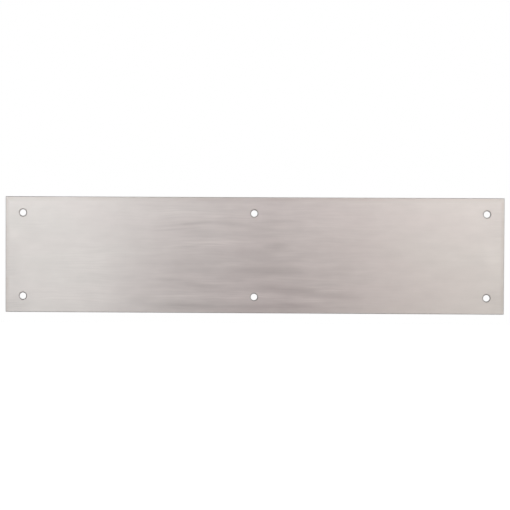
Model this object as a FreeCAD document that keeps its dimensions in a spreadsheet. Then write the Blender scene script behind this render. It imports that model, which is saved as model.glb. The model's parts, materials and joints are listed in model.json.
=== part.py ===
import FreeCAD, Part
import os
import Sketcher

# Kick plate: one flat sheet of satin brushed stainless steel that is screwed to the foot of a door.
#
# Frame: the origin is the centre of the back face, which lies on the door. +X runs along the length, +Z up
# the height and +Y into the door, so the back face is the plane Y = 0 and the metal is on its -Y side.
# Sketches lie on the body's XZ origin plane, whose own x and y run along +X and +Z and which faces -Y.

SHEET = "Dimensions"
DIMENSIONS = {
    "plate_length": 645.0,
    "plate_height": 150.0,
    "plate_thickness": 1.5,
    "corner_radius": 1.0,  # of the four corners, seen from the front
    "front_bevel": 0.6,  # dressed off the front edge at 45 degrees
    "back_bevel": 0.15,  # deburring of the back edge
    "column_spacing": 300.0,  # between neighbouring screw holes of one row, along X
    "row_spacing": 108.0,  # between the two rows of screw holes, along Z
    "hole_diameter": 8.4,
    "countersink_diameter": 10.8,
    "countersink_angle": 90.0,
}
HOLE_COLUMNS = 3
NODE = "kick_plate"
TOLERANCE = 1e-6


def make_sheet(doc):
    """Puts each dimension's name in column A and its value in column B, with the name as alias."""
    sheet = doc.addObject("Spreadsheet::Sheet", SHEET)
    for row, (name, value) in enumerate(DIMENSIONS.items(), start=1):
        sheet.set(f"A{row}", name)
        sheet.set(f"B{row}", str(value))
        sheet.setAlias(f"B{row}", name)
    return sheet


def cell(name):
    """The expression that reads one dimension."""
    return f"{SHEET}.{name}"


def front_plane(body):
    """The body's own origin plane for everything seen from the front."""
    return next(feature for feature in body.Origin.OriginFeatures if feature.Role == "XZ_Plane")


def new_sketch(body, name):
    """An empty sketch on the plane of the back face."""
    sketch = body.newObject("Sketcher::SketchObject", name)
    sketch.AttachmentSupport = [(front_plane(body), "")]
    sketch.MapMode = "FlatFace"
    return sketch


def add_bound_constraint(sketch, constraint, expression):
    """Adds a dimensional constraint whose value the spreadsheet sets."""
    index = sketch.addConstraint(constraint)
    sketch.setExpression(f"Constraints[{index}]", expression)


def draw_outline(sketch):
    """The plate's rectangle, centred on the sketch's origin."""
    length, height = DIMENSIONS["plate_length"], DIMENSIONS["plate_height"]
    corners = [
        FreeCAD.Vector(side_x * length / 2, side_z * height / 2, 0)
        for side_x, side_z in ((-1, -1), (1, -1), (1, 1), (-1, 1))
    ]
    for near, far in zip(corners, corners[1:] + corners[:1]):
        sketch.addGeometry(Part.LineSegment(near, far), False)
    bottom, right, top, left = range(4)
    start, end = 1, 2
    axes, origin_point = -1, 1
    for line, following in ((bottom, right), (right, top), (top, left), (left, bottom)):
        sketch.addConstraint(Sketcher.Constraint("Coincident", line, end, following, start))
    sketch.addConstraint(Sketcher.Constraint("Horizontal", bottom))
    sketch.addConstraint(Sketcher.Constraint("Horizontal", top))
    sketch.addConstraint(Sketcher.Constraint("Vertical", right))
    sketch.addConstraint(Sketcher.Constraint("Vertical", left))
    sketch.addConstraint(
        Sketcher.Constraint("Symmetric", bottom, start, top, start, axes, origin_point)
    )
    add_bound_constraint(
        sketch,
        Sketcher.Constraint("DistanceX", bottom, start, bottom, end, length),
        cell("plate_length"),
    )
    add_bound_constraint(
        sketch,
        Sketcher.Constraint("DistanceY", right, start, right, end, height),
        cell("plate_height"),
    )


def draw_hole_column(sketch):
    """The two screw holes of the leftmost column, on the plane of the front face."""
    sketch.setExpression("AttachmentOffset.Base.z", cell("plate_thickness"))
    columns_from_centre = (HOLE_COLUMNS - 1) / 2
    x = -columns_from_centre * DIMENSIONS["column_spacing"]
    z = DIMENSIONS["row_spacing"] / 2
    radius = DIMENSIONS["hole_diameter"] / 2
    lower, upper = (
        sketch.addGeometry(
            Part.Circle(FreeCAD.Vector(x, side * z, 0), FreeCAD.Vector(0, 0, 1), radius), False
        )
        for side in (-1, 1)
    )
    middle, axes, origin_point, horizontal_axis = 3, -1, 1, -1
    sketch.addConstraint(Sketcher.Constraint("Symmetric", lower, middle, upper, middle, horizontal_axis))
    sketch.addConstraint(Sketcher.Constraint("Equal", lower, upper))
    add_bound_constraint(
        sketch,
        Sketcher.Constraint("DistanceX", lower, middle, axes, origin_point, -x),
        f"{columns_from_centre} * {cell('column_spacing')}",
    )
    add_bound_constraint(
        sketch,
        Sketcher.Constraint("DistanceY", lower, middle, upper, middle, 2 * z),
        cell("row_spacing"),
    )
    add_bound_constraint(
        sketch,
        Sketcher.Constraint("Radius", lower, radius),
        f"{cell('hole_diameter')} / 2",
    )


def edge_names(shape, wanted):
    """The names of the shape's edges that pass a test."""
    return [f"Edge{i}" for i, edge in enumerate(shape.Edges, start=1) if wanted(edge)]


def lies_at(edge, y):
    """Whether the whole edge is in the plane at this Y."""
    box = edge.BoundBox
    return abs(box.YMin - y) < TOLERANCE and abs(box.YMax - y) < TOLERANCE


def pad_blank(doc, body):
    """The sheared blank: the outline, as thick as the sheet."""
    outline = new_sketch(body, "Outline")
    draw_outline(outline)
    blank = body.newObject("PartDesign::Pad", "Blank")
    blank.Profile = outline
    blank.setExpression("Length", cell("plate_thickness"))
    doc.recompute()
    return blank


def round_corners(doc, body, blank):
    """The small radius at the four corners, on the edges that run through the sheet's thickness."""
    through = edge_names(blank.Shape, lambda edge: abs(edge.tangentAt(edge.FirstParameter).y) > 0.5)
    corners = body.newObject("PartDesign::Fillet", "Corners")
    corners.Base = (blank, through)
    corners.setExpression("Radius", cell("corner_radius"))
    doc.recompute()
    return corners


def bevel_rim(doc, body, previous, name, y, size):
    """A 45 degree bevel all round the sheet, on the edges of the face at this Y."""
    bevel = body.newObject("PartDesign::Chamfer", name)
    bevel.Base = (previous, edge_names(previous.Shape, lambda edge: lies_at(edge, y)))
    bevel.setExpression("Size", cell(size))
    doc.recompute()
    return bevel


def drill_hole_column(doc, body):
    """The leftmost two screw holes, countersunk from the front."""
    centres = new_sketch(body, "HoleCentres")
    draw_hole_column(centres)
    holes = body.newObject("PartDesign::Hole", "HoleColumn")
    holes.Profile = centres
    doc.recompute()
    holes.DepthType = "ThroughAll"
    holes.HoleCutType = "Countersink"
    holes.HoleCutCustomValues = True
    holes.setExpression("Diameter", cell("hole_diameter"))
    holes.setExpression("HoleCutDiameter", cell("countersink_diameter"))
    holes.setExpression("HoleCutCountersinkAngle", cell("countersink_angle"))
    doc.recompute()
    return holes


def repeat_hole_column(doc, body, holes):
    """The same column of holes at each place along the plate."""
    pattern = body.newObject("PartDesign::LinearPattern", "HoleColumns")
    pattern.Originals = [holes]
    pattern.Direction = (holes.Profile[0], ["H_Axis"])
    pattern.Mode = "Spacing"
    pattern.Occurrences = HOLE_COLUMNS
    pattern.setExpression("Offset", cell("column_spacing"))
    body.Tip = pattern
    doc.recompute()


def make_kick_plate(doc):
    """The whole sheet as one body."""
    body = doc.addObject("PartDesign::Body", "KickPlate")
    body.Label = NODE
    blank = pad_blank(doc, body)
    corners = round_corners(doc, body, blank)
    front = -DIMENSIONS["plate_thickness"]
    front_bevel = bevel_rim(doc, body, corners, "FrontBevel", front, "front_bevel")
    bevel_rim(doc, body, front_bevel, "BackBevel", 0, "back_bevel")
    holes = drill_hole_column(doc, body)
    repeat_hole_column(doc, body, holes)
    body.Placement = FreeCAD.Placement()
    return body


def check(doc, bodies):
    """Stops if any object failed to compute, or if a body isn't a sound solid."""
    doc.recompute()
    failed = [o.Name for o in doc.Objects if {"Invalid", "Error"} & set(o.State)]
    if failed:
        raise RuntimeError(f"these objects failed to compute: {failed}")
    for body in bodies:
        shape = body.Shape
        if shape.isNull() or not shape.isValid() or len(shape.Solids) != 1:
            raise RuntimeError(f"{body.Label} isn't one valid solid")


def main():
    doc = FreeCAD.newDocument("KickPlate")
    doc.UseHasher = False  # plain edge names, so the bevels still find their edges after a size is changed
    make_sheet(doc)
    bodies = [make_kick_plate(doc)]
    check(doc, bodies)
    os.makedirs("parts", exist_ok=True)
    for body in bodies:
        body.Shape.exportStep(f"parts/{body.Label}.step")
        print(body.Label, body.Shape.BoundBox, f"{body.Shape.Volume:.1f} mm3")


main()
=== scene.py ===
import json
import math

import bmesh
import bpy
from mathutils import Euler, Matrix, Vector


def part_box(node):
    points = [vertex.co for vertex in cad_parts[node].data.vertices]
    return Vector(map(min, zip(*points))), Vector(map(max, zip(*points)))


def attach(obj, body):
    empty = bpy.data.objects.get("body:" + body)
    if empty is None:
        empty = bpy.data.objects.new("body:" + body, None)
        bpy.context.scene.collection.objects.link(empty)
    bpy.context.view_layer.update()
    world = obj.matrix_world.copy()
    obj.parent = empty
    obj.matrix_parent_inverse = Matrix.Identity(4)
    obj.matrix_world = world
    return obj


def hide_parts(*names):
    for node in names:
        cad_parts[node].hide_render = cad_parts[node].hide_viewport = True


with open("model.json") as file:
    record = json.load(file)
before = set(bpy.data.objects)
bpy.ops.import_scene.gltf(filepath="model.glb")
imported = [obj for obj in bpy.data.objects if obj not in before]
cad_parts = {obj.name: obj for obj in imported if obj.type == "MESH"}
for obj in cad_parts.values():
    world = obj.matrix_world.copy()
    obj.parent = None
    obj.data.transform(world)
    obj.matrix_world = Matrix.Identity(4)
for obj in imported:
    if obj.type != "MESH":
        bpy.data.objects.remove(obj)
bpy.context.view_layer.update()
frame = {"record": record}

# Looks of the kick plate. Every length is in metres, in the frame of the CAD model: +X along the plate,
# +Z up its height, and the visible front face towards -Y.

MM = 0.001
NODE = "kick_plate"

LOW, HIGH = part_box(NODE)
LENGTH = HIGH.x - LOW.x
HEIGHT = HIGH.z - LOW.z
FRONT, BACK = LOW.y, HIGH.y

MOUNTS = {mount["name"]: mount["dims"] for mount in frame["record"]["mounts"]}
HOLE_RADIUS = MOUNTS["end_screw_holes"]["hole_r_mm"] * MM
COLUMN_SPACING = MOUNTS["end_screw_holes"]["spacing_x_mm"] / 2 * MM
ROW_SPACING = MOUNTS["end_screw_holes"]["spacing_y_mm"] * MM
COLUMNS = (-COLUMN_SPACING, 0.0, COLUMN_SPACING)
ROWS = (-ROW_SPACING / 2, ROW_SPACING / 2)

COUNTERSINK_RADIUS = 5.4 * MM
CORNER_RADIUS = 1.0 * MM
FRONT_BEVEL = 0.6 * MM
BACK_BEVEL = 0.15 * MM
ARRIS = 0.08 * MM  # how far each edge between two faces is worn round

# The mesh
HOLE_SEGMENTS = 96  # round each hole, a multiple of 4
PATCH = 14 * MM  # half the side of the square of mesh round each hole
MARGIN = 3 * MM  # from the grid's border to the plate's edge
CELL = 12 * MM  # the largest cell of the grid between the holes
CORNER_SEGMENTS = 8
WORN_SEGMENTS = 3
FLARE_SHARES = (0.45, 0.75, 0.92)  # how round the rings are between the square round a hole and its circle

FACE, SINK, RIM, REAR = range(4)  # the plate's material slots


# ---------------------------------------------------------------- mesh

def patch_lines(centre):
    """Grid lines through the square round a hole, which meet its rim at even angles."""
    quarter = HOLE_SEGMENTS // 4
    return [centre + PATCH * math.tan(math.pi / 2 * (k / quarter - 0.5)) for k in range(quarter + 1)]


def even_lines(start, end):
    """Evenly spaced lines strictly between two places."""
    count = max(1, round(abs(end - start) / CELL))
    return [start + (end - start) * k / count for k in range(1, count)]


def grid_lines(half_size, centres):
    """All the grid lines along one side of the plate."""
    lines = [-half_size + MARGIN]
    for centre in centres:
        patch = patch_lines(centre)
        lines += even_lines(lines[-1], patch[0]) + patch
    return lines + even_lines(lines[-1], half_size - MARGIN) + [half_size - MARGIN]


def worn_profile(points):
    """An open profile of (offset, y) points with every inner corner rounded to ARRIS."""
    result = [points[0]]
    for before, at, after in zip(points, points[1:], points[2:]):
        here = Vector(at)
        start = here + (Vector(before) - here).normalized() * ARRIS
        end = here + (Vector(after) - here).normalized() * ARRIS
        for k in range(WORN_SEGMENTS + 1):
            t = k / WORN_SEGMENTS
            result.append(tuple(start * (1 - t) ** 2 + here * 2 * t * (1 - t) + end * t ** 2))
    return result + [points[-1]]


class PlateMesh:
    """Builds the plate as one closed skin, with a UV map whose U runs along the metal's grain."""

    def __init__(self):
        self.bm = bmesh.new()
        self.uv = self.bm.loops.layers.uv.new("Grain")
        self.x_lines = grid_lines(LENGTH / 2, COLUMNS)
        self.z_lines = grid_lines(HEIGHT / 2, ROWS)

    def add_face(self, verts, uvs, material):
        face = self.bm.faces.new(verts)
        face.material_index = material
        face.smooth = True
        for loop, uv in zip(face.loops, uvs):
            loop[self.uv].uv = uv

    def add_flat_face(self, verts, material):
        """A face in the plane of the plate, whose grain runs along X."""
        self.add_face(verts, [(v.co.x, v.co.z) for v in verts], material)

    def flat_loops(self, inner, outer, material):
        """Joins two closed loops in the plane of the plate."""
        count = len(inner)
        for k in range(count):
            n = (k + 1) % count
            self.add_flat_face([inner[k], inner[n], outer[n], outer[k]], material)

    def swept_loops(self, loops, materials):
        """Joins closed loops through the thickness of the plate, with the grain running round them."""
        around = [0.0]
        first = loops[0]
        for k, vert in enumerate(first):
            around.append(around[-1] + (first[(k + 1) % len(first)].co - vert.co).length)
        across = 0.0
        for a, b, material in zip(loops, loops[1:], materials):
            step = (b[0].co - a[0].co).length
            for k in range(len(a)):
                n = (k + 1) % len(a)
                uvs = [
                    (around[k], across),
                    (around[k + 1], across),
                    (around[k + 1], across + step),
                    (around[k], across + step),
                ]
                self.add_face([a[k], a[n], b[n], b[k]], uvs, material)
            across += step

    def grid(self, y, material):
        """The flat face at this y, without its holes. Returns its border and that of each hole's square."""
        index_x = {column: self.x_lines.index(patch_lines(column)[0]) for column in COLUMNS}
        index_z = {row: self.z_lines.index(patch_lines(row)[0]) for row in ROWS}
        quarter = HOLE_SEGMENTS // 4
        squares = [(i, j) for i in index_x.values() for j in index_z.values()]

        def within_square(i, j):
            return any(a < i < a + quarter and b < j < b + quarter for a, b in squares)

        verts = {
            (i, j): self.bm.verts.new((x, y, z))
            for i, x in enumerate(self.x_lines)
            for j, z in enumerate(self.z_lines)
            if not within_square(i, j)
        }
        for i in range(len(self.x_lines) - 1):
            for j in range(len(self.z_lines) - 1):
                if not any(a <= i < a + quarter and b <= j < b + quarter for a, b in squares):
                    corners = ((i, j), (i + 1, j), (i + 1, j + 1), (i, j + 1))
                    self.add_flat_face([verts[c] for c in corners], material)
        borders = [self.border(verts, a, b, a + quarter, b + quarter) for a, b in squares]
        return self.border(verts, 0, 0, len(self.x_lines) - 1, len(self.z_lines) - 1), borders

    @staticmethod
    def border(verts, low_i, low_j, high_i, high_j):
        """The vertices round a rectangle of the grid, from its low corner along +X first."""
        keys = [(i, low_j) for i in range(low_i, high_i)]
        keys += [(high_i, j) for j in range(low_j, high_j)]
        keys += [(i, high_j) for i in range(high_i, low_i, -1)]
        keys += [(low_i, j) for j in range(high_j, low_j, -1)]
        return [verts[key] for key in keys]

    def ring(self, directions, centre, radius, y):
        return [
            self.bm.verts.new((centre[0] + d.x * radius, y, centre[1] + d.y * radius)) for d in directions
        ]

    def flare(self, square, centre, radius, y, material):
        """Flat rings that lead from the square round a hole to a circle. Returns the circle."""
        flats = [Vector((v.co.x - centre[0], v.co.z - centre[1])) for v in square]
        loops = [square]
        for share in FLARE_SHARES:
            loops.append([
                self.bm.verts.new((
                    centre[0] + flat.x * (1 - share) + flat.normalized().x * radius * share,
                    y,
                    centre[1] + flat.y * (1 - share) + flat.normalized().y * radius * share,
                ))
                for flat in flats
            ])
        loops.append(self.ring([f.normalized() for f in flats], centre, radius, y))
        for outer, inner in zip(loops, loops[1:]):
            self.flat_loops(inner, outer, material)
        return loops[-1]

    def hole(self, centre, front_square, back_square):
        """One screw hole: the countersink from the front, the short bore and the broken edge behind it."""
        land = FRONT + (COUNTERSINK_RADIUS - HOLE_RADIUS)
        support = 2 * ARRIS
        profile = worn_profile([
            (COUNTERSINK_RADIUS + support, FRONT),
            (COUNTERSINK_RADIUS, FRONT),
            (HOLE_RADIUS, land),
            (HOLE_RADIUS, BACK - ARRIS),
            (HOLE_RADIUS + ARRIS, BACK),
            (HOLE_RADIUS + ARRIS + support, BACK),
        ])
        front_circle = self.flare(front_square, centre, profile[0][0], FRONT, FACE)
        back_circle = self.flare(back_square, centre, profile[-1][0], BACK, REAR)
        directions = [
            Vector((v.co.x - centre[0], v.co.z - centre[1])).normalized() for v in front_circle
        ]
        middle = [self.ring(directions, centre, radius, y) for radius, y in profile[1:-1]]
        loops = [front_circle] + middle + [back_circle]
        materials = [FACE] + [SINK] * (len(loops) - 3) + [REAR]
        self.swept_loops(loops, materials)

    def outline(self, inset, y):
        """The plate's outline moved in by an inset, with a vertex for each one of the grid's border."""
        radius = CORNER_RADIUS - inset
        centre_x, centre_z = LENGTH / 2 - CORNER_RADIUS, HEIGHT / 2 - CORNER_RADIUS
        half_x, half_z = LENGTH / 2 - inset, HEIGHT / 2 - inset
        sides = (
            [(x, -half_z) for x in self.x_lines[1:-1]],
            [(half_x, z) for z in self.z_lines[1:-1]],
            [(x, half_z) for x in reversed(self.x_lines[1:-1])],
            [(-half_x, z) for z in reversed(self.z_lines[1:-1])],
        )
        corners = ((-1, -1, 180), (1, -1, 270), (1, 1, 0), (-1, 1, 90))
        points = []
        for (side_x, side_z, start), side in zip(corners, sides):
            for k in range(CORNER_SEGMENTS + 1):
                angle = math.radians(start + 90 * k / CORNER_SEGMENTS)
                points.append((
                    side_x * centre_x + radius * math.cos(angle),
                    side_z * centre_z + radius * math.sin(angle),
                ))
            points += side
        return [self.bm.verts.new((x, y, z)) for x, z in points]

    def margin(self, border, edge, material):
        """Flat faces from the grid's square-cornered border to the rounded outline."""
        at = 0
        lines = (len(self.x_lines) - 1, len(self.z_lines) - 1) * 2
        first = 0
        for count in lines:
            corner = border[first]
            for k in range(CORNER_SEGMENTS):
                self.add_flat_face([corner, edge[at + k], edge[at + k + 1]], material)
            at += CORNER_SEGMENTS
            for k in range(count):
                a, b = border[first + k], border[(first + k + 1) % len(border)]
                c, d = edge[(at + 1) % len(edge)], edge[at]
                self.add_flat_face([a, b, c, d], material)
                at += 1
            first += count

    def rim(self, front_border, back_border):
        """The margin of both faces and the bevelled edge between them."""
        support = 2 * ARRIS
        profile = worn_profile([
            (FRONT_BEVEL + support, FRONT),
            (FRONT_BEVEL, FRONT),
            (0.0, FRONT + FRONT_BEVEL),
            (0.0, BACK - BACK_BEVEL),
            (BACK_BEVEL, BACK),
            (BACK_BEVEL + support, BACK),
        ])
        loops = [self.outline(inset, y) for inset, y in profile]
        self.margin(front_border, loops[0], FACE)
        self.margin(back_border, loops[-1], REAR)
        materials = [FACE] + [RIM] * (len(loops) - 3) + [REAR]
        self.swept_loops(loops, materials)

    def build(self, name):
        front_border, front_squares = self.grid(FRONT, FACE)
        back_border, back_squares = self.grid(BACK, REAR)
        centres = [(column, row) for column in COLUMNS for row in ROWS]
        for centre, front_square, back_square in zip(centres, front_squares, back_squares):
            self.hole(centre, front_square, back_square)
        self.rim(front_border, back_border)
        bmesh.ops.recalc_face_normals(self.bm, faces=self.bm.faces)
        mesh = bpy.data.meshes.new(name)
        self.bm.to_mesh(mesh)
        self.bm.free()
        return mesh


# ---------------------------------------------------------------- materials

NOISE_RANGE = (0.35, 0.65)  # where most of a noise node's values lie
ALONG_GRAIN = 0.25  # of a turn, from the tangent to the direction of the grain
SMOOTHEST = 0.28  # the least roughness of the brushed face

class Nodes:
    """A small helper for node graphs: each call adds a node and returns its output socket."""

    def __init__(self, tree):
        self.tree = tree
        tree.nodes.clear()

    def node(self, kind, inputs=(), **settings):
        node = self.tree.nodes.new(kind)
        for name, value in settings.items():
            setattr(node, name, value)
        for name, value in dict(inputs).items():
            self.feed(node.inputs[name], value)
        return node

    def feed(self, socket, value):
        if isinstance(value, bpy.types.NodeSocket):
            self.tree.links.new(value, socket)
        elif socket.type == "RGBA":
            socket.default_value = (*value, 1.0)
        else:
            socket.default_value = value

    def place(self):
        """Where a point is on the piece, in metres."""
        return self.node("ShaderNodeTexCoord").outputs["Object"]

    def noise(self, place, size, detail=2.0, roughness=0.5, shift=(0.0, 0.0, 0.0)):
        """Noise from 0 to 1 whose features are about `size` metres along each axis."""
        scaled = self.node(
            "ShaderNodeMapping",
            {"Vector": place, "Location": shift, "Scale": [1 / s for s in size]},
        ).outputs["Vector"]
        return self.node(
            "ShaderNodeTexNoise",
            {"Vector": scaled, "Scale": 1.0, "Detail": detail, "Roughness": roughness},
        ).outputs["Fac"]

    def math(self, operation, *values):
        node = self.node("ShaderNodeMath", operation=operation)
        for socket, value in zip(node.inputs, values):
            self.feed(socket, value)
        return node.outputs[0]

    def span(self, value, from_min, from_max, to_min, to_max, smooth=False):
        return self.node(
            "ShaderNodeMapRange",
            {"Value": value, "From Min": from_min, "From Max": from_max, "To Min": to_min, "To Max": to_max},
            interpolation_type="SMOOTHSTEP" if smooth else "LINEAR",
        ).outputs["Result"]

    def stretched(self, noise, low, high):
        """Noise whose usual range is spread between two values."""
        return self.span(noise, *NOISE_RANGE, low, high)

    def swing(self, value, amount):
        """Noise recentred on 0: plus or minus about `amount`."""
        return self.math("MULTIPLY", self.math("SUBTRACT", value, 0.5), 4 * amount)

    def total(self, *values):
        result = values[0]
        for value in values[1:]:
            result = self.math("ADD", result, value)
        return result

    def tint(self, base, factor, colour):
        """Mixes the colour into the base by a factor."""
        node = self.node("ShaderNodeMix", data_type="RGBA")
        self.feed(node.inputs[0], factor)
        self.feed(node.inputs[6], base)
        self.feed(node.inputs[7], colour)
        return node.outputs[2]

    def scaled(self, colour, value):
        """A colour made lighter or darker by a number."""
        node = self.node("ShaderNodeVectorMath", operation="SCALE")
        self.feed(node.inputs[0], colour)
        self.feed(node.inputs["Scale"], value)
        return node.outputs[0]


def steel(name, paint, anisotropic):
    """A bare steel material. `paint` fills in its colour, roughness and bump with nodes."""
    material = bpy.data.materials.new(name)
    material.use_nodes = True
    nodes = Nodes(material.node_tree)
    shader = nodes.node("ShaderNodeBsdfPrincipled", {"Metallic": 1.0, "Anisotropic": anisotropic})
    output = nodes.node("ShaderNodeOutputMaterial")
    nodes.feed(output.inputs["Surface"], shader.outputs[0])
    shader.inputs["Anisotropic Rotation"].default_value = ALONG_GRAIN
    tangent = nodes.node("ShaderNodeTangent", direction_type="UV_MAP", uv_map="Grain")
    nodes.feed(shader.inputs["Tangent"], tangent.outputs[0])
    paint(nodes, shader.inputs)
    return material


def bump(nodes, height, distance):
    return nodes.node("ShaderNodeBump", {"Height": height, "Distance": distance}).outputs["Normal"]


# Where rubbing and handling left marks, with broad patches of painted shade and painted reflection among
# them, mostly at the ends: x, z, half length, half height and slope of each, then how far it stands out.
# A mark above 0 is darker than the metal round it, and one below 0 is lighter.
MARKS = (
    # the upper middle
    (-0.086, 0.0400, 0.050, 0.0034, 0.09, 1.9),
    (-0.034, 0.0410, 0.046, 0.0042, -0.07, 1.3),
    (-0.098, 0.0335, 0.048, 0.0026, 0.08, 1.5),
    (0.006, 0.0350, 0.050, 0.0045, -0.07, 0.5),
    (0.038, 0.0440, 0.036, 0.0035, -0.02, 0.7),
    (0.020, 0.0330, 0.036, 0.0030, -0.05, 0.4),
    (0.052, 0.0250, 0.028, 0.0080, 0.00, -0.7),
    # a broad lighter patch of painted reflection
    (-0.070, 0.0530, 0.090, 0.0130, 0.00, -0.9),
    (-0.082, 0.0110, 0.030, 0.0025, 0.03, 0.9),
    (-0.050, 0.0160, 0.060, 0.0110, 0.00, -1.4),
    (0.026, 0.0690, 0.045, 0.0100, 0.00, 1.2),
    # the middle
    (0.027, 0.0120, 0.022, 0.0075, 0.00, 2.3),
    (0.002, 0.0030, 0.036, 0.0120, 0.00, 0.9),
    (0.002, -0.0050, 0.022, 0.0045, 0.00, 0.8),
    (0.040, 0.0020, 0.032, 0.0035, 0.00, -0.7),
    (-0.026, -0.0110, 0.020, 0.0035, 0.00, -0.8),
    (-0.084, -0.0090, 0.046, 0.0100, 0.00, 0.9),
    (0.020, -0.0190, 0.066, 0.0100, -0.02, 1.5),
    (-0.066, -0.0190, 0.072, 0.0050, 0.01, 0.8),
    (0.118, -0.0180, 0.016, 0.0240, 0.00, 0.4),
    # the lower middle
    (-0.106, -0.0330, 0.044, 0.0050, -0.09, 1.0),
    (-0.120, -0.0400, 0.040, 0.0060, 0.00, 0.8),
    (-0.062, -0.0310, 0.024, 0.0060, 0.00, -0.5),
    (-0.072, -0.0390, 0.046, 0.0045, -0.08, 1.1),
    (-0.046, -0.0350, 0.032, 0.0060, 0.00, -0.8),
    (0.040, -0.0440, 0.056, 0.0095, -0.08, 1.7),
    (0.094, -0.0430, 0.034, 0.0070, -0.08, -1.0),
    (0.108, -0.0520, 0.050, 0.0070, -0.06, 1.2),
    (-0.088, -0.0530, 0.064, 0.0065, 0.00, -1.4),
    (-0.010, -0.0540, 0.060, 0.0110, 0.00, -1.2),
    (0.060, -0.0570, 0.060, 0.0050, -0.05, -1.2),
    (-0.146, -0.0590, 0.026, 0.0080, 0.05, 0.8),
    (-0.090, -0.0660, 0.076, 0.0060, -0.02, 1.9),
    (0.000, -0.0670, 0.050, 0.0045, 0.00, 0.8),
    (0.046, -0.0650, 0.052, 0.0055, 0.00, 1.8),
    # the ends: mostly broad patches of painted shade (above 0) and painted reflection (below 0)
    (-0.312, 0.0260, 0.010, 0.0080, 0.00, -1.0),
    (-0.292, 0.0360, 0.048, 0.0320, 0.00, 0.7),
    (-0.212, -0.0080, 0.070, 0.0380, 0.00, -0.9),
    (-0.230, -0.0520, 0.090, 0.0320, 0.00, -0.9),
    (-0.320, -0.0150, 0.022, 0.0600, 0.00, 0.8),
    (-0.310, -0.0660, 0.034, 0.0170, 0.00, 1.6),
    (0.306, 0.0010, 0.018, 0.0200, 0.00, -0.6),
    (0.316, 0.0450, 0.026, 0.0500, 0.00, 0.9),
    (0.316, -0.0550, 0.028, 0.0320, 0.00, 0.8),
)


MARK_CORE = 0.9  # a mark has its full depth from here in, where 0 is its rim and 1 its centre
# This tone also sets how dark or light the broad patches of painted shade and painted reflection are.
MARK_TONE = -0.058  # what a mark with a depth of 1 does to the metal's brightness
MARK_ROUGHNESS = -0.015

BUSY_FROM, BUSY_TO = 70 * MM, 210 * MM  # streaks fade to a quarter between these distances from the middle
WORN_ENDS = (LENGTH / 2 - 6.5 * MM, LENGTH / 2 - 1.5 * MM)  # where the darker band at the ends starts and is full
WORN_TOP = (HEIGHT / 2 - 7.5 * MM, HEIGHT / 2 - 1.5 * MM)


def brushing_marks(nodes, place):
    """The sum of all the marks, rubbing marks and patches of painted shade and painted reflection alike, each
    soft all round.
    """
    marks = []
    for x, z, half_length, half_height, slope, depth in MARKS:
        # a spherical gradient falls from 1 to 0 over a radius of 1
        fitted = nodes.node(
            "ShaderNodeMapping",
            {
                "Vector": place,
                "Location": (x, 0.0, z),
                "Rotation": (0.0, -math.atan(slope), 0.0),
                "Scale": (half_length, 1.0, half_height),
            },
            vector_type="TEXTURE",
        ).outputs["Vector"]
        spot = nodes.node("ShaderNodeTexGradient", {"Vector": fitted}, gradient_type="SPHERICAL")
        soft = nodes.span(spot.outputs["Fac"], 0.0, MARK_CORE, 0.0, 1.0, smooth=True)
        marks.append(nodes.math("MULTIPLY", soft, depth))
    return nodes.total(*marks)


def paint_brushed(nodes, sockets):
    """The front: a satin finish brushed along the length, a little cloudy from rolling and handling."""
    place = nodes.place()
    axes = nodes.node("ShaderNodeSeparateXYZ", {"Vector": place}).outputs
    sway = nodes.noise(place, (90 * MM, 1.0, 32 * MM), shift=(2.7, 0.0, 3.3))
    drift = nodes.node("ShaderNodeCombineXYZ", {"Z": nodes.swing(sway, 3 * MM)}).outputs[0]
    swayed = nodes.node("ShaderNodeVectorMath", {0: place, 1: drift}, operation="ADD").outputs[0]

    hair = nodes.noise(place, (45 * MM, 1.0, 0.35 * MM), detail=3.0, roughness=0.6)
    line = nodes.noise(swayed, (60 * MM, 1.0, 2.4 * MM), shift=(3.1, 0.0, 7.7))
    wisp = nodes.noise(swayed, (70 * MM, 1.0, 8 * MM), shift=(1.3, 0.0, 4.2))
    cloud = nodes.noise(place, (30 * MM, 1.0, 14 * MM), shift=(5.9, 0.0, 2.4))
    hue = nodes.noise(place, (140 * MM, 1.0, 45 * MM), detail=1.0, shift=(8.2, 0.0, 6.5))
    # rubbing marks and broad patches of painted shade and painted reflection, streaked along the grain
    marks = brushing_marks(nodes, place)
    worn = nodes.math("MULTIPLY", marks, nodes.stretched(line, 0.5, 1.5))
    # the brushing shows most in the middle of the length
    from_middle = nodes.math("ABSOLUTE", axes["X"])
    busy = nodes.span(from_middle, BUSY_FROM, BUSY_TO, 1.0, 0.25, smooth=True)
    streaks = nodes.math("MULTIPLY", nodes.total(nodes.swing(line, 0.028), nodes.swing(wisp, 0.048)), busy)
    # a darker, browner band, clouded, along the top and the two ends
    end = nodes.span(from_middle, *WORN_ENDS, 0.0, 1.0, smooth=True)
    top = nodes.span(axes["Z"], *WORN_TOP, 0.0, 1.0, smooth=True)
    edge = nodes.math("MULTIPLY", nodes.math("MAXIMUM", end, top), nodes.stretched(cloud, 0.2, 1.0))

    tone = nodes.total(
        1.0,
        nodes.swing(hair, 0.006),
        nodes.swing(cloud, 0.030),
        streaks,
        nodes.math("MULTIPLY", worn, MARK_TONE),
    )
    colour = nodes.tint((0.800, 0.772, 0.752), nodes.stretched(hue, 0.0, 1.0), (0.804, 0.767, 0.750))
    colour = nodes.tint(colour, edge, (0.735, 0.693, 0.665))
    nodes.feed(sockets["Base Color"], nodes.scaled(colour, tone))
    rough = nodes.total(
        0.310,
        nodes.swing(wisp, 0.004),
        nodes.swing(cloud, 0.004),
        nodes.math("MULTIPLY", marks, MARK_ROUGHNESS),
    )
    nodes.feed(sockets["Roughness"], nodes.math("MAXIMUM", rough, SMOOTHEST))
    height = nodes.total(nodes.math("MULTIPLY", hair, 0.02), cloud)
    nodes.feed(sockets["Normal"], bump(nodes, height, 0.02 * MM))


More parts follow.
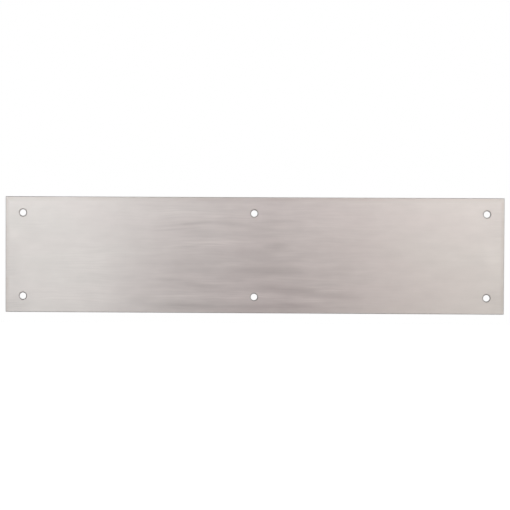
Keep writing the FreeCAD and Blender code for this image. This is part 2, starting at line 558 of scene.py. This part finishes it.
def paint_turned(nodes, sockets):
    """The countersinks: fine rings left by the drill."""
    place = nodes.place()
    ring = nodes.noise(place, (1.0, 0.08 * MM, 1.0), roughness=0.6)
    patch = nodes.noise(place, (2 * MM, 2 * MM, 2 * MM), detail=1.0)
    tone = nodes.total(1.0, nodes.swing(ring, 0.12), nodes.swing(patch, 0.08))
    nodes.feed(sockets["Base Color"], nodes.scaled((0.69, 0.66, 0.645), tone))
    nodes.feed(sockets["Roughness"], nodes.total(0.32, nodes.swing(ring, 0.01)))
    nodes.feed(sockets["Normal"], bump(nodes, ring, 0.01 * MM))


def paint_dressed(nodes, sockets):
    """The edges, linished after shearing."""
    place = nodes.place()
    scratch = nodes.noise(place, (12 * MM, 0.1 * MM, 12 * MM), roughness=0.6)
    wear = nodes.noise(place, (7 * MM, 7 * MM, 7 * MM))
    tone = nodes.total(1.0, nodes.swing(scratch, 0.08), nodes.swing(wear, 0.12))
    nodes.feed(sockets["Base Color"], nodes.scaled((0.79, 0.765, 0.745), tone))
    nodes.feed(sockets["Roughness"], nodes.total(0.36, nodes.swing(scratch, 0.015), nodes.swing(wear, 0.01)))
    nodes.feed(sockets["Normal"], bump(nodes, scratch, 0.006 * MM))


def paint_mill(nodes, sockets):
    """The back: the sheet's plain rolled finish, greyer and more even than the front."""
    place = nodes.place()
    pickle = nodes.noise(place, (1.2 * MM, 1.0, 0.8 * MM), roughness=0.6)
    roll = nodes.noise(place, (260 * MM, 1.0, 6 * MM), detail=3.0, roughness=0.6, shift=(2.2, 0.0, 9.1))
    cloud = nodes.noise(place, (70 * MM, 1.0, 45 * MM), detail=3.0, shift=(4.4, 0.0, 1.9))
    tone = nodes.total(1.0, nodes.swing(pickle, 0.03), nodes.swing(roll, 0.05), nodes.swing(cloud, 0.07))
    nodes.feed(sockets["Base Color"], nodes.scaled((0.70, 0.685, 0.675), tone))
    rough = nodes.total(0.36, nodes.swing(pickle, 0.02), nodes.swing(roll, 0.02), nodes.swing(cloud, 0.03))
    nodes.feed(sockets["Roughness"], rough)
    nodes.feed(sockets["Normal"], bump(nodes, pickle, 0.004 * MM))


# ---------------------------------------------------------------- the plate

def make_plate():
    mesh = PlateMesh().build("kick_plate_sheet")
    for material in (
        steel("steel_brushed", paint_brushed, anisotropic=0.97),
        steel("steel_turned", paint_turned, anisotropic=0.6),
        steel("steel_dressed", paint_dressed, anisotropic=0.6),
        steel("steel_mill", paint_mill, anisotropic=0.35),
    ):
        mesh.materials.append(material)
    plate = bpy.data.objects.new("kick_plate_sheet", mesh)
    bpy.context.collection.objects.link(plate)
    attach(plate, "root")
    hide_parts(NODE)


# ---------------------------------------------------------------- studio

CAMERA_AZIMUTH = 1.093  # degrees round from straight in front of the plate, to the right
CAMERA_ELEVATION = 1.228
CAMERA_ROLL = 0.265
CAMERA_DISTANCE = 1.8335
CAMERA_TARGET = (1.15 * MM, 0.0, 0.36 * MM)
FLOOR_SIZE = 40.0
FLOOR_LEVEL = -1.5
STRIP_PLACE = (0.0, -0.8, 0.36)
STRIP_LENGTH, STRIP_WIDTH = 1.4, 0.16
STRIP_POWER = 2.0  # watts

def aim(obj, place, target, roll=0.0):
    """Points an object's -Z axis at the target, with its Y axis up and then rolled."""
    obj.location = place
    turn = (Vector(target) - Vector(place)).to_track_quat("-Z", "Y").to_matrix()
    obj.rotation_euler = (turn @ Euler((0.0, 0.0, roll)).to_matrix()).to_euler()


def make_camera():
    data = bpy.data.cameras.new("camera")
    data.lens = 100.0
    data.sensor_width = 36.0
    data.clip_start = 0.01
    data.clip_end = 100.0
    camera = bpy.data.objects.new("camera", data)
    bpy.context.collection.objects.link(camera)
    azimuth, elevation = math.radians(CAMERA_AZIMUTH), math.radians(CAMERA_ELEVATION)
    back = Vector((
        math.sin(azimuth) * math.cos(elevation),
        -math.cos(azimuth) * math.cos(elevation),
        math.sin(elevation),
    ))
    target = Vector(CAMERA_TARGET)
    aim(camera, target + back * CAMERA_DISTANCE, target, math.radians(CAMERA_ROLL))
    bpy.context.scene.camera = camera


def make_strip():
    """A soft strip light in front of the plate, above the line of sight. It isn't seen itself."""
    data = bpy.data.lights.new("front_strip", "AREA")
    data.shape = "RECTANGLE"
    data.size, data.size_y = STRIP_LENGTH, STRIP_WIDTH
    data.energy = STRIP_POWER
    light = bpy.data.objects.new("front_strip", data)
    light.visible_camera = False
    bpy.context.collection.objects.link(light)
    aim(light, STRIP_PLACE, (0.0, 0.0, 0.0))


# The made-up room that the plate mirrors: grey walls, a pale panel on each side of the camera, and between
# them a dark gap, darkest low down, as where somebody stands behind a camera. Each stop is a direction, in
# degrees round from straight in front of the plate and rising to the right, then how bright the room is there
# and its tint. One list is for above the horizon, the other for below it.
HORIZON_BLUR = 0.2  # the two lists blend within this height, where 1 is straight up
POLE_FROM, POLE_TO = 0.45, 0.9  # the room darkens between these heights, above and below
POLE_LEVEL = 0.3
NEUTRAL = (1.00, 0.98, 0.97)
COOL = (0.97, 1.00, 0.98)
ROSE = (1.00, 0.85, 0.86)
SAND = (1.00, 0.98, 0.86)
ROOM_ABOVE = (
    (-180, 0.60, NEUTRAL),
    (-140, 0.45, NEUTRAL),
    (-120, 0.10, NEUTRAL),
    (-80, 0.05, NEUTRAL),
    (-60, 0.45, NEUTRAL),
    (-20, 0.45, NEUTRAL),
    (-8, 0.80, COOL),
    (-3, 0.40, ROSE),
    (5, 0.80, ROSE),
    (12, 0.90, NEUTRAL),
    (30, 0.80, NEUTRAL),
    (70, 0.70, NEUTRAL),
    (105, 0.25, NEUTRAL),
    (130, 0.60, NEUTRAL),
    (155, 0.75, NEUTRAL),
    (180, 0.60, NEUTRAL),
)
ROOM_BELOW = (
    (-180, 0.50, NEUTRAL),
    (-140, 0.40, NEUTRAL),
    (-120, 0.10, NEUTRAL),
    (-80, 0.05, NEUTRAL),
    (-60, 0.55, NEUTRAL),
    (-15, 0.75, NEUTRAL),
    (-9, 1.00, NEUTRAL),
    (-5, 0.30, ROSE),
    (1, 0.15, ROSE),
    (7, 0.60, SAND),
    (30, 0.60, NEUTRAL),
    (70, 0.50, NEUTRAL),
    (105, 0.20, NEUTRAL),
    (130, 0.55, NEUTRAL),
    (155, 0.60, NEUTRAL),
    (180, 0.50, NEUTRAL),
)


def panorama(nodes, around, stops):
    """A colour by direction round the plate, from a list of (degrees, brightness, tint)."""
    node = nodes.node("ShaderNodeValToRGB", {"Fac": around})
    elements = node.color_ramp.elements
    for k, (angle, level, tint) in enumerate(stops):
        place = angle / 360 + 0.5
        element = elements[k] if k < 2 else elements.new(place)
        element.position = place
        element.color = (*(level * channel for channel in tint), 1.0)
        if k == 0:
            elements[1].position = 1.0
    return node.outputs["Color"]


def make_world():
    world = bpy.data.worlds.new("studio")
    world.use_nodes = True
    nodes = Nodes(world.node_tree)
    direction = nodes.node("ShaderNodeTexCoord").outputs["Generated"]
    axes = nodes.node("ShaderNodeSeparateXYZ", {"Vector": direction}).outputs
    azimuth = nodes.math("ARCTAN2", axes["X"], nodes.math("MULTIPLY", axes["Y"], -1.0))
    around = nodes.math("ADD", nodes.math("DIVIDE", azimuth, 2 * math.pi), 0.5)
    height = nodes.span(axes["Z"], -HORIZON_BLUR, HORIZON_BLUR, 0.0, 1.0, smooth=True)
    colour = nodes.tint(panorama(nodes, around, ROOM_BELOW), height, panorama(nodes, around, ROOM_ABOVE))
    from_horizon = nodes.math("ABSOLUTE", axes["Z"])
    colour = nodes.scaled(colour, nodes.span(from_horizon, POLE_FROM, POLE_TO, 1.0, POLE_LEVEL, smooth=True))
    room = nodes.node("ShaderNodeBackground", {"Color": colour, "Strength": 1.0}).outputs[0]
    white = nodes.node("ShaderNodeBackground", {"Color": (1.0, 1.0, 1.0), "Strength": 1.0}).outputs[0]
    mix = nodes.node("ShaderNodeMixShader")
    nodes.feed(mix.inputs[0], nodes.node("ShaderNodeLightPath").outputs["Is Camera Ray"])
    nodes.feed(mix.inputs[1], room)
    nodes.feed(mix.inputs[2], white)
    output = nodes.node("ShaderNodeOutputWorld")
    nodes.feed(output.inputs["Surface"], mix.outputs[0])
    bpy.context.scene.world = world


def make_floor():
    bm = bmesh.new()
    bmesh.ops.create_grid(bm, x_segments=1, y_segments=1, size=FLOOR_SIZE / 2)
    mesh = bpy.data.meshes.new("floor")
    bm.to_mesh(mesh)
    bm.free()
    floor = bpy.data.objects.new("floor", mesh)
    floor.location.z = FLOOR_LEVEL
    bpy.context.collection.objects.link(floor)
    material = bpy.data.materials.new("floor")
    material.use_nodes = True
    shader = material.node_tree.nodes["Principled BSDF"]
    shader.inputs["Base Color"].default_value = (0.9, 0.9, 0.9, 1.0)
    shader.inputs["Roughness"].default_value = 0.9
    shader.inputs["Emission Color"].default_value = (1.0, 1.0, 1.0, 1.0)
    shader.inputs["Emission Strength"].default_value = 0.8
    mesh.materials.append(material)
    floor.visible_glossy = False


def make_studio():
    make_camera()
    make_world()
    make_floor()
    make_strip()
    scene = bpy.context.scene
    scene.view_settings.view_transform = "Standard"
    scene.view_settings.look = "None"
    scene.view_settings.exposure = 0.0
    scene.view_settings.gamma = 1.0


make_plate()
make_studio()
